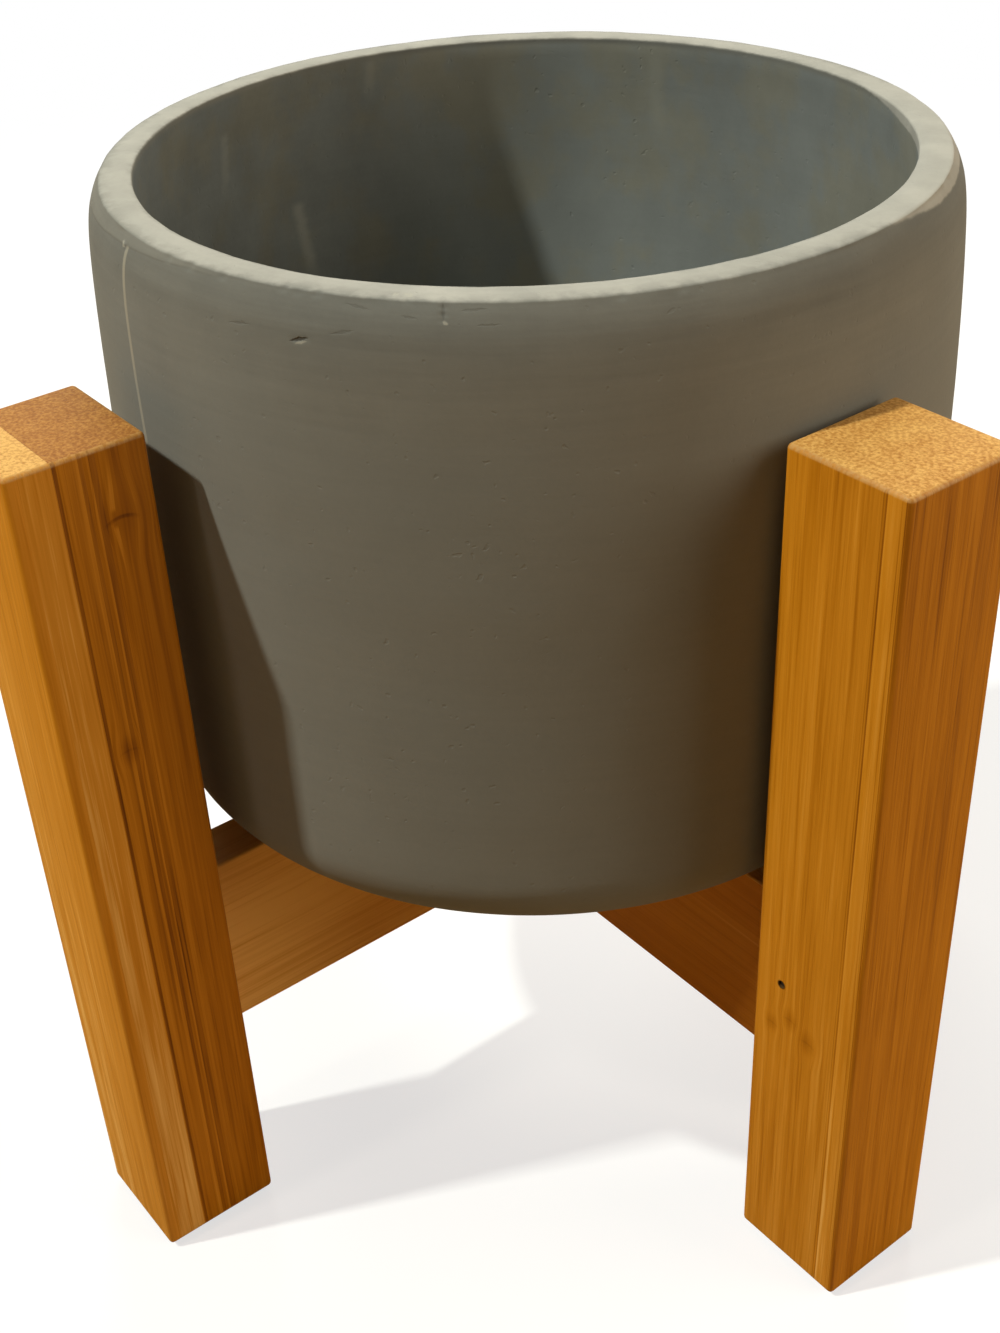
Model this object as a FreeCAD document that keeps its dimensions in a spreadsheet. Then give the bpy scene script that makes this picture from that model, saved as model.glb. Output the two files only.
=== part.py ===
import FreeCAD, Part

import math
import os

import Sketcher
from FreeCAD import Placement, Rotation, Vector

# Planter with stand: a moulded pot that stands loose on two crossed bars between four square posts.
# Origin: middle of the stand, on the floor. +Z is up, and the front, between two posts, faces -Y.

# Driving sizes, in millimetres
SIZES = [
    ("leg_side", 40, "square section of a leg"),
    ("leg_length", 290, "leg, without its pad"),
    ("leg_arris", 1.5, "rounding of a leg's edges"),
    ("pad_radius", 14, "felt pad under a leg"),
    ("pad_thickness", 2, "felt pad under a leg"),
    ("bar_thickness", 18, "crossbar, across"),
    ("bar_depth", 64, "crossbar, upright"),
    ("bar_top", 135, "top of the crossbars above a leg's foot"),
    ("bar_arris", 1, "rounding of a crossbar's long edges"),
    ("lap_clearance", 0.1, "each side of the halved joint"),
    ("dowel_radius", 4, "dowel"),
    ("dowel_length", 42, "dowel, half in the leg and half in the bar"),
    ("dowel_spacing", 25, "between the two dowels of a joint"),
    ("dowel_chamfer", 1, "dowel ends"),
    ("glue_gap", 0.15, "round a dowel and a brad"),
    ("dowel_end_gap", 0.5, "past each end of a dowel"),
    ("brad_radius", 0.7, "brad that pins the upper dowel"),
    ("brad_length", 26, "brad with its head"),
    ("brad_point", 2, "pointed end of the brad"),
    ("brad_head_radius", 1.1, "brad head"),
    ("brad_head_thickness", 0.8, "brad head"),
    ("brad_sink", 0.8, "brad head below the leg's face"),
    ("screw_radius", 2.2, "lap screw's shank"),
    ("screw_length", 50, "lap screw with its head"),
    ("screw_point", 6, "pointed end of the lap screw"),
    ("screw_head_radius", 4.4, "countersunk head"),
    ("screw_head_depth", 2.7, "countersunk head"),
    ("screw_head_rim", 0.4, "straight rim of the countersunk head"),
    ("screw_recess_width", 1.1, "cross recess in the head"),
    ("screw_recess_length", 4.6, "cross recess in the head"),
    ("screw_recess_depth", 1.8, "cross recess in the head"),
    ("screw_gap", 0.1, "round the screw"),
    ("pot_height", 196.5, "pot"),
    ("rim_inset", 7.8, "outer edge of the flat rim, in from the belly"),
    ("rim_width", 8.5, "flat rim"),
    ("rim_round", 9.8, "height of the rounding outside the rim"),
    ("neck_inset", 3.4, "start of the rim's rounding, in from the belly"),
    ("belly_radius", 127.8, "widest part of the pot"),
    ("belly_height", 115, "widest part above the pot's base"),
    ("low_inset", 0.9, "top of the bottom corner, in from the belly"),
    ("corner_radius", 24, "pot's bottom corner"),
    ("wall", 12, "pot's wall at the belly"),
    ("floor_thickness", 14, "inside floor above the pot's base"),
    ("inner_corner_radius", 18, "inside of the bottom corner"),
    ("recess_radius", 46, "shallow recess under the pot"),
    ("recess_depth", 3, "shallow recess under the pot"),
    ("rim_outer_arris", 1.6, "softened outer edge of the rim"),
    ("rim_inner_arris", 1, "softened inner edge of the rim"),
    ("drain_top_radius", 9, "drain hole at the pot's floor"),
    ("drain_low_radius", 8.4, "drain hole at its lower end"),
    ("plug_gap", 0.3, "round the plug"),
    ("plug_flange_radius", 14, "plug's flange, let into the pot's floor"),
    ("plug_flange_thickness", 3, "plug's flange"),
    ("plug_flange_round", 1.2, "rounded edge of the plug's flange"),
    ("plug_dimple_radius", 6, "finger dimple in the plug"),
    ("plug_dimple_depth", 1.4, "finger dimple in the plug"),
    ("pot_clearance", 6.7, "from the pot to each leg, when it stands in the middle"),
    ("overrun", 1, "how far a cut runs past a face"),
]

# The pot was set down a little off the middle: shares of its clearance, towards two of the legs
TO_FRONT_RIGHT_SHARE = 0.813
TO_REAR_RIGHT_SHARE = 0.43

# Two lengths count as the same when they differ by less than this share of a leg's side
MATCH_SHARE = 0.0001

# Directions of the legs from the middle of the stand, in degrees
CORNER_ANGLES = {"front_left": -135, "front_right": -45, "rear_right": 45, "rear_left": 135}

# A sketch's own numbers for the points of its lines and arcs, and for its two axes
START, END, MIDDLE = range(1, 4)
UP_AXIS, ACROSS_AXIS = range(-2, 0)

doc = FreeCAD.newDocument("planter_with_stand")
sheet = doc.addObject("Spreadsheet::Sheet", "sizes")
for row, (alias, value, note) in enumerate(SIZES, 1):
    sheet.set(f"A{row}", note)
    sheet.set(f"B{row}", str(value))
    sheet.setAlias(f"B{row}", alias)
doc.recompute()

# Sizes and places worked out from the driving sizes, as expressions
INNER_FACE = "(sizes.belly_radius + sizes.pot_clearance)"
LEG_REACH = f"({INNER_FACE} + sizes.leg_side / 2)"
BAR_LENGTH = f"(2 * {INNER_FACE})"
BAR_BOTTOM = "(sizes.bar_top - sizes.bar_depth)"
HALF_DOWEL = "(sizes.dowel_length / 2)"
DOWEL_HOLE = "(sizes.dowel_radius + sizes.glue_gap)"
DOWEL_HOLE_DEPTH = f"({HALF_DOWEL} + sizes.dowel_end_gap)"
JOINT_HEIGHTS = {
    "upper": "(sizes.bar_depth / 2 + sizes.dowel_spacing / 2)",
    "lower": "(sizes.bar_depth / 2 - sizes.dowel_spacing / 2)",
}
BRAD_ACROSS = f"(-sizes.leg_side / 2 + {HALF_DOWEL} / 2)"

subparts = []


# Helpers for bodies, sketches and features
def worked_out(expression):
    """The present value of an expression."""
    return float(sheet.evalExpression(expression))


def new_body(label):
    body = doc.addObject("PartDesign::Body", label)
    body.Label = label
    subparts.append(body)
    return body


def origin_plane(body, role):
    return next(item for item in body.Origin.OriginFeatures if item.Role == role)


def new_sketch(body, name, role, offset=None):
    """A sketch on one of the body's own origin planes, moved along the plane's normal by offset."""
    sketch = body.newObject("Sketcher::SketchObject", name)
    sketch.AttachmentSupport = [(origin_plane(body, role), "")]
    sketch.MapMode = "FlatFace"
    if offset:
        sketch.setExpression("AttachmentOffset.Base.z", offset)
    return sketch


def dimension(sketch, kind, name, expression, *where):
    """A named dimension that follows an expression; where lists geometry and point numbers."""
    index = sketch.addConstraint(Sketcher.Constraint(kind, *where, worked_out(expression)))
    sketch.renameConstraint(index, name)
    sketch.setExpression(f"Constraints.{name}", expression)


def from_origin(sketch, kind, name, expression, *point):
    """A signed distance along X or Y from the sketch's origin to a point."""
    if worked_out(expression) < 0:
        dimension(sketch, kind, name, f"-{expression}", *point, ACROSS_AXIS, START)
    else:
        dimension(sketch, kind, name, expression, ACROSS_AXIS, START, *point)


def rectangle(sketch, name, width, height, low=None):
    """A rectangle centred on the origin, or with its lower edge at the height low."""
    half_width = worked_out(width) / 2
    base = worked_out(low) if low else -worked_out(height) / 2
    top = base + worked_out(height)
    corners = [Vector(-half_width, base), Vector(half_width, base),
               Vector(half_width, top), Vector(-half_width, top)]
    first = sketch.GeometryCount
    for start, end in zip(corners, corners[1:] + corners[:1]):
        sketch.addGeometry(Part.LineSegment(start, end))
    lower, right, upper, left = range(first, first + 4)
    for one, other in ((lower, right), (right, upper), (upper, left), (left, lower)):
        sketch.addConstraint(Sketcher.Constraint("Coincident", one, END, other, START))
    for line in (left, right):
        sketch.addConstraint(Sketcher.Constraint("Vertical", line))
    sketch.addConstraint(Sketcher.Constraint("Horizontal", upper))
    dimension(sketch, "DistanceX", f"{name}_width", width, lower, START, lower, END)
    dimension(sketch, "DistanceY", f"{name}_height", height, right, START, right, END)
    if low:
        sketch.addConstraint(Sketcher.Constraint("Symmetric", lower, START, lower, END, UP_AXIS))
        from_origin(sketch, "DistanceY", f"{name}_low", low, lower, START)
    else:
        sketch.addConstraint(Sketcher.Constraint("Horizontal", lower))
        sketch.addConstraint(
            Sketcher.Constraint("Symmetric", lower, START, upper, START, ACROSS_AXIS, START))


def circle(sketch, name, radius, across=None, up=None):
    """A circle round the origin, or at signed distances across and up from it."""
    centre = Vector(worked_out(across) if across else 0, worked_out(up) if up else 0)
    index = sketch.addGeometry(Part.Circle(centre, Vector(0, 0, 1), worked_out(radius)))
    dimension(sketch, "Radius", f"{name}_radius", radius, index)
    if across:
        from_origin(sketch, "DistanceX", f"{name}_across", across, index, MIDDLE)
    else:
        sketch.addConstraint(Sketcher.Constraint("PointOnObject", index, MIDDLE, UP_AXIS))
    if up:
        from_origin(sketch, "DistanceY", f"{name}_up", up, index, MIDDLE)
    else:
        sketch.addConstraint(Sketcher.Constraint("PointOnObject", index, MIDDLE, ACROSS_AXIS))


def point(x, y):
    """A point from two expressions, where a None stands for zero."""
    return Vector(worked_out(x) if x else 0, worked_out(y) if y else 0)


def outline(sketch, points):
    """Straight lines through points, each a name with its X and Y as point takes them, closed."""
    places = [point(x, y) for _, x, y in points]
    for start, end in zip(places, places[1:] + places[:1]):
        sketch.addGeometry(Part.LineSegment(start, end))
    count = len(points)
    for line, (name, x, y) in enumerate(points):
        sketch.addConstraint(
            Sketcher.Constraint("Coincident", line, END, (line + 1) % count, START))
        if x:
            from_origin(sketch, "DistanceX", f"{name}_x", x, line, START)
        else:
            sketch.addConstraint(Sketcher.Constraint("PointOnObject", line, START, UP_AXIS))
        if y:
            from_origin(sketch, "DistanceY", f"{name}_y", y, line, START)
        else:
            sketch.addConstraint(Sketcher.Constraint("PointOnObject", line, START, ACROSS_AXIS))


def pad(body, name, sketch, length, both_sides=False):
    feature = body.newObject("PartDesign::Pad", name)
    feature.Profile = sketch
    if both_sides:
        feature.SideType = "Symmetric"
    feature.setExpression("Length", length)
    doc.recompute()
    return feature


def pocket(body, name, sketch, length, backwards=False, both_sides=False):
    """A cut, which has to take something away."""
    before = body.Shape.Volume
    feature = body.newObject("PartDesign::Pocket", name)
    feature.Profile = sketch
    feature.Reversed = backwards
    if both_sides:
        feature.SideType = "Symmetric"
    feature.setExpression("Length", length)
    doc.recompute()
    if not body.Shape.Volume < before:
        raise RuntimeError(f"{body.Label}: {name} cuts nothing")
    return feature


def revolve(body, name, sketch, cut=False):
    """A full turn of a sketch about its own upright axis."""
    before = body.Shape.Volume if cut else 0
    feature = body.newObject("PartDesign::Groove" if cut else "PartDesign::Revolution", name)
    feature.Profile = sketch
    feature.ReferenceAxis = (sketch, ["V_Axis"])
    doc.recompute()
    if cut and not body.Shape.Volume < before:
        raise RuntimeError(f"{body.Label}: {name} cuts nothing")
    return feature


def dress_edges(body, name, kind, size_name, expression, chosen):
    """Fillet or chamfer the edges that chosen accepts."""
    base = body.Tip
    edges = [f"Edge{number}" for number, edge in enumerate(base.Shape.Edges, 1) if chosen(edge)]
    feature = body.newObject(f"PartDesign::{kind}", name)
    feature.Base = (base, edges)
    feature.setExpression(size_name, expression)
    doc.recompute()
    return feature


def near(one, other):
    return abs(one - other) < MATCH_SHARE * worked_out("sizes.leg_side")


def is_ring(edge, radius, height):
    """Whether an edge is the circle of that radius at that height round the upright axis."""
    return (isinstance(edge.Curve, Part.Circle) and near(edge.Curve.Radius, worked_out(radius))
            and near(edge.Curve.Center.z, worked_out(height)))


def place(item, height, turn=Rotation(), outward=None, toward=0):
    """Stand an item at a height, turned, and outward from the middle of the stand along toward."""
    item.Placement = Placement(Vector(), turn)
    item.setExpression("Placement.Base.z", height)
    if outward:
        item.setExpression("Placement.Base.x", f"{outward} * cos({toward} deg)")
        item.setExpression("Placement.Base.y", f"{outward} * sin({toward} deg)")


def about_up(degrees):
    return Rotation(Vector(0, 0, 1), degrees)


# Legs: square posts. Each has two dowel holes in its inner face and a brad hole in one side.
# In a leg's own frame +X points away from the middle of the stand.
def make_leg(corner, toward):
    body = new_body(f"leg_{corner}")
    section = new_sketch(body, "section", "XY_Plane")
    rectangle(section, "leg", "sizes.leg_side", "sizes.leg_side")
    pad(body, "post", section, "sizes.leg_length")
    dress_edges(body, "arrises", "Fillet", "Radius", "sizes.leg_arris", lambda edge: True)

    heights = {name: f"({BAR_BOTTOM} + {height})" for name, height in JOINT_HEIGHTS.items()}
    holes = new_sketch(body, "dowel_places", "YZ_Plane", "-sizes.leg_side / 2")
    for name, height in heights.items():
        circle(holes, name, DOWEL_HOLE, up=height)
    pocket(body, "dowel_holes", holes, DOWEL_HOLE_DEPTH, backwards=True)

    shank = new_sketch(body, "brad_place", "XZ_Plane", "sizes.leg_side / 2")
    circle(shank, "shank", "sizes.brad_radius + sizes.glue_gap", BRAD_ACROSS, heights["upper"])
    pocket(body, "brad_hole", shank, "sizes.brad_sink + sizes.brad_length + sizes.glue_gap")
    head = new_sketch(body, "brad_head_place", "XZ_Plane", "sizes.leg_side / 2")
    circle(head, "head", "sizes.brad_head_radius + sizes.glue_gap", BRAD_ACROSS, heights["upper"])
    pocket(body, "brad_head_hole", head, "sizes.brad_sink + sizes.brad_head_thickness")
    place(body, "sizes.pad_thickness", about_up(toward), LEG_REACH, toward)


for corner, toward in CORNER_ANGLES.items():
    make_leg(corner, toward)


# Crossbars: two boards halved into each other, the lower one cut from above and the upper one
# from below. In a bar's own frame +X runs along it, and +Z up from its lower edge.
def make_crossbar(label, turn, notch_low):
    body = new_body(label)
    section = new_sketch(body, "section", "XY_Plane")
    rectangle(section, "bar", BAR_LENGTH, "sizes.bar_thickness")
    pad(body, "board", section, "sizes.bar_depth")
    length = worked_out(BAR_LENGTH)
    dress_edges(body, "arrises", "Fillet", "Radius", "sizes.bar_arris",
                lambda edge: near(edge.Length, length))

    notch = new_sketch(body, "notch_outline", "XZ_Plane")
    rectangle(notch, "notch", "sizes.bar_thickness + 2 * sizes.lap_clearance",
              "sizes.bar_depth / 2 + sizes.overrun", notch_low)
    pocket(body, "notch", notch, "sizes.bar_thickness + 2 * sizes.overrun", both_sides=True)

    ends = new_sketch(body, "dowel_places", "YZ_Plane", f"{BAR_LENGTH} / 2")
    for name, height in JOINT_HEIGHTS.items():
        circle(ends, name, DOWEL_HOLE, up=height)
    holes = pocket(body, "dowel_holes", ends, DOWEL_HOLE_DEPTH)
    mirror = body.newObject("PartDesign::Mirrored", "far_dowel_holes")
    mirror.Originals = [holes]
    mirror.MirrorPlane = (origin_plane(body, "YZ_Plane"), [""])
    body.Tip = mirror
    doc.recompute()
    place(body, f"sizes.pad_thickness + {BAR_BOTTOM}", about_up(turn))
    return body


lower_bar = make_crossbar("crossbar_lower", CORNER_ANGLES["rear_right"], "(sizes.bar_depth / 2)")
upper_bar = make_crossbar("crossbar_upper", CORNER_ANGLES["front_right"], "(-sizes.overrun)")

# The screw goes up through the lower bar, countersunk, and ends blind in the upper bar
screw_hole = [
    ("foot", None, "(-sizes.overrun)"),
    ("mouth", "(sizes.screw_head_radius + sizes.screw_gap)", "(-sizes.overrun)"),
    ("rim", "(sizes.screw_head_radius + sizes.screw_gap)", "sizes.screw_head_rim"),
    ("neck", "(sizes.screw_radius + sizes.screw_gap)", "sizes.screw_head_depth"),
    ("end", "(sizes.screw_radius + sizes.screw_gap)", "(sizes.screw_length + sizes.screw_gap)"),
    ("tip", None, "(sizes.screw_length + sizes.screw_gap)"),
]
for bar in (lower_bar, upper_bar):
    bore = new_sketch(bar, "screw_bore", "XZ_Plane")
    outline(bore, screw_hole)
    revolve(bar, "screw_hole", bore, cut=True)


# Dowels: they lie in the leg and bar ends, and the upper one of each joint is drilled for the brad.
# In a dowel's own frame +X points out of the stand, and its middle is at the leg's inner face.
def make_dowel(corner, toward, level, height):
    body = new_body(f"dowel_{corner}_{level}")
    section = new_sketch(body, "section", "YZ_Plane")
    circle(section, "dowel", "sizes.dowel_radius")
    pad(body, "rod", section, "sizes.dowel_length", both_sides=True)
    dress_edges(body, "ends", "Chamfer", "Size", "sizes.dowel_chamfer",
                lambda edge: isinstance(edge.Curve, Part.Circle))
    if level == "upper":
        pin = new_sketch(body, "brad_place", "XZ_Plane")
        circle(pin, "brad", "sizes.brad_radius + sizes.glue_gap", f"({HALF_DOWEL} / 2)")
        pocket(body, "brad_hole", pin, "2 * sizes.dowel_radius + 2 * sizes.overrun", both_sides=True)
    place(body, f"sizes.pad_thickness + {BAR_BOTTOM} + {height}", about_up(toward), INNER_FACE, toward)


for corner, toward in CORNER_ANGLES.items():
    for level, height in JOINT_HEIGHTS.items():
        make_dowel(corner, toward, level, height)


# Brads: each is driven into the side of a leg and through the upper dowel.
# In a brad's own frame its head faces -Z and its point is up; it is laid over by its placement.
def make_brad(corner, toward):
    body = new_body(f"brad_{corner}")
    profile = new_sketch(body, "profile", "XZ_Plane")
    outline(profile, [
        ("head", None, None),
        ("head_edge", "sizes.brad_head_radius", None),
        ("head_back", "sizes.brad_head_radius", "sizes.brad_head_thickness"),
        ("neck", "sizes.brad_radius", "sizes.brad_head_thickness"),
        ("shoulder", "sizes.brad_radius", "(sizes.brad_length - sizes.brad_point)"),
        ("tip", None, "sizes.brad_length"),
    ])
    revolve(body, "brad", profile)
    # From the middle of the leg to the head: back along X, and sideways to the sunk head along Y
    side = "(sizes.leg_side / 2 - sizes.brad_sink)"
    reach = f"({LEG_REACH} + {BRAD_ACROSS})"
    height = f"sizes.pad_thickness + {BAR_BOTTOM} + {JOINT_HEIGHTS['upper']}"
    place(body, height, about_up(toward) * Rotation(Vector(1, 0, 0), -90))
    along, across = f"cos({toward} deg)", f"sin({toward} deg)"
    body.setExpression("Placement.Base.x", f"{reach} * {along} + {side} * {across}")
    body.setExpression("Placement.Base.y", f"{reach} * {across} - {side} * {along}")


for corner, toward in CORNER_ANGLES.items():
    make_brad(corner, toward)

# Lap screw: countersunk wood screw with a cross recess, its head level with the lower bar
lap_screw = new_body("lap_screw")
profile = new_sketch(lap_screw, "profile", "XZ_Plane")
outline(profile, [
    ("head", None, None),
    ("head_edge", "sizes.screw_head_radius", None),
    ("rim", "sizes.screw_head_radius", "sizes.screw_head_rim"),
    ("neck", "sizes.screw_radius", "sizes.screw_head_depth"),
    ("shoulder", "sizes.screw_radius", "(sizes.screw_length - sizes.screw_point)"),
    ("tip", None, "sizes.screw_length"),
])
revolve(lap_screw, "screw", profile)
for name, width, height in (
        ("recess", "sizes.screw_recess_length", "sizes.screw_recess_width"),
        ("cross_recess", "sizes.screw_recess_width", "sizes.screw_recess_length")):
    recess = new_sketch(lap_screw, f"{name}_outline", "XY_Plane")
    rectangle(recess, name, width, height)
    pocket(lap_screw, name, recess, "sizes.screw_recess_depth", backwards=True)
place(lap_screw, f"sizes.pad_thickness + {BAR_BOTTOM}", about_up(CORNER_ANGLES["front_right"]))


# Foot pads: felt discs under the legs
for corner, toward in CORNER_ANGLES.items():
    foot_pad = new_body(f"foot_pad_{corner}")
    disc = new_sketch(foot_pad, "disc_outline", "XY_Plane")
    circle(disc, "pad", "sizes.pad_radius")
    pad(foot_pad, "disc", disc, "sizes.pad_thickness")
    foot_pad.setExpression("Placement.Base.x", f"{LEG_REACH} * cos({toward} deg)")
    foot_pad.setExpression("Placement.Base.y", f"{LEG_REACH} * sin({toward} deg)")


# Pot: one closed profile turned about the pot's axis, with its drain hole and recessed underside
def arc(start, end, direction):
    """The arc that leaves start along direction and ends at end, turning to the left."""
    chord = end - start
    leftward = Vector(-direction.y, direction.x).normalize()
    radius = chord.dot(chord) / (2 * chord.dot(leftward))
    centre = start + leftward * radius
    first = math.atan2(start.y - centre.y, start.x - centre.x)
    last = math.atan2(end.y - centre.y, end.x - centre.x)
    return Part.ArcOfCircle(Part.Circle(centre, Vector(0, 0, 1), radius), first, last)


RIM_OUTER = "(sizes.belly_radius - sizes.rim_inset)"
RIM_INNER = f"({RIM_OUTER} - sizes.rim_width)"
NECK_RADIUS = "(sizes.belly_radius - sizes.neck_inset)"
NECK_HEIGHT = "(sizes.pot_height - sizes.rim_round)"
LOW_RADIUS = "(sizes.belly_radius - sizes.low_inset)"
INNER_LOW = f"({LOW_RADIUS} - sizes.wall)"
INNER_BELLY = "(sizes.belly_radius - sizes.wall)"
SEAT_RADIUS = "(sizes.plug_flange_radius + sizes.plug_gap)"
SEAT_HEIGHT = "(sizes.floor_thickness - sizes.plug_flange_thickness)"

pot = new_body("pot")
shell = new_sketch(pot, "profile", "XZ_Plane")
drain_low = point("sizes.drain_low_radius", "sizes.recess_depth")
recess_top = point("sizes.recess_radius", "sizes.recess_depth")
recess_edge = point("sizes.recess_radius", None)
corner_low = point(f"{LOW_RADIUS} - sizes.corner_radius", None)
corner_top = point(LOW_RADIUS, "sizes.corner_radius")
belly = point("sizes.belly_radius", "sizes.belly_height")
neck = point(NECK_RADIUS, NECK_HEIGHT)
rim_outer = point(RIM_OUTER, "sizes.pot_height")
rim_inner = point(RIM_INNER, "sizes.pot_height")
inner_belly = point(INNER_BELLY, "sizes.belly_height")
inner_top = point(INNER_LOW, "sizes.floor_thickness + sizes.inner_corner_radius")
inner_low = point(f"{INNER_LOW} - sizes.inner_corner_radius", "sizes.floor_thickness")
seat_top = point(SEAT_RADIUS, "sizes.floor_thickness")
seat_edge = point(SEAT_RADIUS, SEAT_HEIGHT)
drain_top = point("sizes.drain_top_radius", SEAT_HEIGHT)
wall_line = belly - corner_top
shoulder = arc(belly, neck, wall_line)
neck_line = neck - shoulder.Center
neck_line = Vector(-neck_line.y, neck_line.x)
pieces = [
    Part.LineSegment(drain_low, recess_top),
    Part.LineSegment(recess_top, recess_edge),
    Part.LineSegment(recess_edge, corner_low),
    arc(corner_low, corner_top, Vector(1, 0)),
    Part.LineSegment(corner_top, belly),
    shoulder,
    arc(neck, rim_outer, neck_line),
    Part.LineSegment(rim_outer, rim_inner),
    arc(inner_belly, rim_inner, wall_line),
    Part.LineSegment(inner_top, inner_belly),
    arc(inner_low, inner_top, Vector(1, 0)),
    Part.LineSegment(inner_low, seat_top),
    Part.LineSegment(seat_top, seat_edge),
    Part.LineSegment(seat_edge, drain_top),
    Part.LineSegment(drain_top, drain_low),
]
(RECESS, STEP, FOOT, CORNER, SIDE, SHOULDER, ROUND, RIM, INNER_SHOULDER, INNER_SIDE, INNER_CORNER,
 INNER_FLOOR, SEAT_SIDE, SEAT, DRAIN) = [shell.addGeometry(piece) for piece in pieces]
for one, end, other, start in (
        (DRAIN, END, RECESS, START), (RECESS, END, STEP, START), (STEP, END, FOOT, START),
        (ROUND, END, RIM, START), (RIM, END, INNER_SHOULDER, END), (INNER_FLOOR, END, SEAT_SIDE, START),
        (SEAT_SIDE, END, SEAT, START), (SEAT, END, DRAIN, START)):
    shell.addConstraint(Sketcher.Constraint("Coincident", one, end, other, start))
for one, end, other, start in (
        (FOOT, END, CORNER, START), (CORNER, END, SIDE, START), (SIDE, END, SHOULDER, START),
        (SHOULDER, END, ROUND, START), (INNER_SIDE, END, INNER_SHOULDER, START),
        (INNER_CORNER, END, INNER_SIDE, START), (INNER_FLOOR, START, INNER_CORNER, START)):
    shell.addConstraint(Sketcher.Constraint("Tangent", one, end, other, start))
for line in (RECESS, FOOT, RIM, INNER_FLOOR, SEAT):
    shell.addConstraint(Sketcher.Constraint("Horizontal", line))
for line in (STEP, SEAT_SIDE):
    shell.addConstraint(Sketcher.Constraint("Vertical", line))
shell.addConstraint(Sketcher.Constraint("Parallel", INNER_SIDE, SIDE))
shell.addConstraint(Sketcher.Constraint("PointOnObject", FOOT, START, ACROSS_AXIS))
for name, expression, line, end in (
        ("drain_low", "sizes.drain_low_radius", RECESS, START),
        ("recess", "sizes.recess_radius", STEP, START), ("low", LOW_RADIUS, SIDE, START),
        ("belly", "sizes.belly_radius", SIDE, END), ("neck", NECK_RADIUS, SHOULDER, END),
        ("rim", RIM_OUTER, RIM, START), ("rim_inner", RIM_INNER, RIM, END),
        ("inner_belly", INNER_BELLY, INNER_SIDE, END), ("seat", SEAT_RADIUS, SEAT, START),
        ("drain_top", "sizes.drain_top_radius", DRAIN, START)):
    from_origin(shell, "DistanceX", f"{name}_radius", expression, line, end)
for name, expression, line, end in (
        ("recess", "sizes.recess_depth", RECESS, START), ("belly", "sizes.belly_height", SIDE, END),
        ("neck", NECK_HEIGHT, SHOULDER, END), ("rim", "sizes.pot_height", RIM, START),
        ("inner_belly", "sizes.belly_height", INNER_SIDE, END),
        ("inner_floor", "sizes.floor_thickness", SEAT_SIDE, START),
        ("seat", SEAT_HEIGHT, SEAT, START)):
    from_origin(shell, "DistanceY", f"{name}_height", expression, line, end)
dimension(shell, "Radius", "corner_radius", "sizes.corner_radius", CORNER)
dimension(shell, "Radius", "inner_corner_radius", "sizes.inner_corner_radius", INNER_CORNER)
revolve(pot, "shell", shell)
dress_edges(pot, "outer_arris", "Fillet", "Radius", "sizes.rim_outer_arris",
            lambda edge: is_ring(edge, RIM_OUTER, "sizes.pot_height"))
dress_edges(pot, "inner_arris", "Fillet", "Radius", "sizes.rim_inner_arris",
            lambda edge: is_ring(edge, RIM_INNER, "sizes.pot_height"))

# The pot's axis, from the middle of the stand
POT_X = (f"sizes.pot_clearance * ({TO_FRONT_RIGHT_SHARE} * cos({CORNER_ANGLES['front_right']} deg)"
         f" + {TO_REAR_RIGHT_SHARE} * cos({CORNER_ANGLES['rear_right']} deg))")
POT_Y = (f"sizes.pot_clearance * ({TO_FRONT_RIGHT_SHARE} * sin({CORNER_ANGLES['front_right']} deg)"
         f" + {TO_REAR_RIGHT_SHARE} * sin({CORNER_ANGLES['rear_right']} deg))")
POT_FOOT = "(sizes.pad_thickness + sizes.bar_top)"
place(pot, POT_FOOT)
pot.setExpression("Placement.Base.x", POT_X)
pot.setExpression("Placement.Base.y", POT_Y)

# Drain plug: a rubber bung, its flange level with the pot's floor and its stem tapered like the hole
drain_plug = new_body("drain_plug")
profile = new_sketch(drain_plug, "profile", "XZ_Plane")
outline(profile, [
    ("stem_end", None, "sizes.recess_depth"),
    ("stem_low", "(sizes.drain_low_radius - sizes.plug_gap)", "sizes.recess_depth"),
    ("stem_top", "(sizes.drain_top_radius - sizes.plug_gap)", SEAT_HEIGHT),
    ("flange_low", "sizes.plug_flange_radius", SEAT_HEIGHT),
    ("flange_top", "sizes.plug_flange_radius", "sizes.floor_thickness"),
    ("dimple_edge", "sizes.plug_dimple_radius", "sizes.floor_thickness"),
    ("dimple", None, "(sizes.floor_thickness - sizes.plug_dimple_depth)"),
])
revolve(drain_plug, "bung", profile)
dress_edges(drain_plug, "flange_edge", "Fillet", "Radius", "sizes.plug_flange_round",
            lambda edge: is_ring(edge, "sizes.plug_flange_radius", "sizes.floor_thickness"))
place(drain_plug, POT_FOOT)
drain_plug.setExpression("Placement.Base.x", POT_X)
drain_plug.setExpression("Placement.Base.y", POT_Y)

# Check every object, then write each sub-part
doc.recompute()
for item in doc.Objects:
    if "Invalid" in item.State or "Error" in item.State:
        raise RuntimeError(f"{item.Label} failed: {item.State}")
os.makedirs("parts", exist_ok=True)
for item in subparts:
    shape = item.Shape
    if shape.isNull() or not shape.isValid() or len(shape.Solids) != 1:
        raise RuntimeError(f"{item.Label} isn't one valid solid")
    shape.exportStep(f"parts/{item.Label}.step")
    box = shape.BoundBox
    print(f"{item.Label}: {shape.Volume:.1f} mm3, x {box.XMin:.2f} {box.XMax:.2f}, "
          f"y {box.YMin:.2f} {box.YMax:.2f}, z {box.ZMin:.2f} {box.ZMax:.2f}")
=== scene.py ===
import math

import bpy
from mathutils import Matrix, Vector, kdtree


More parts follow.
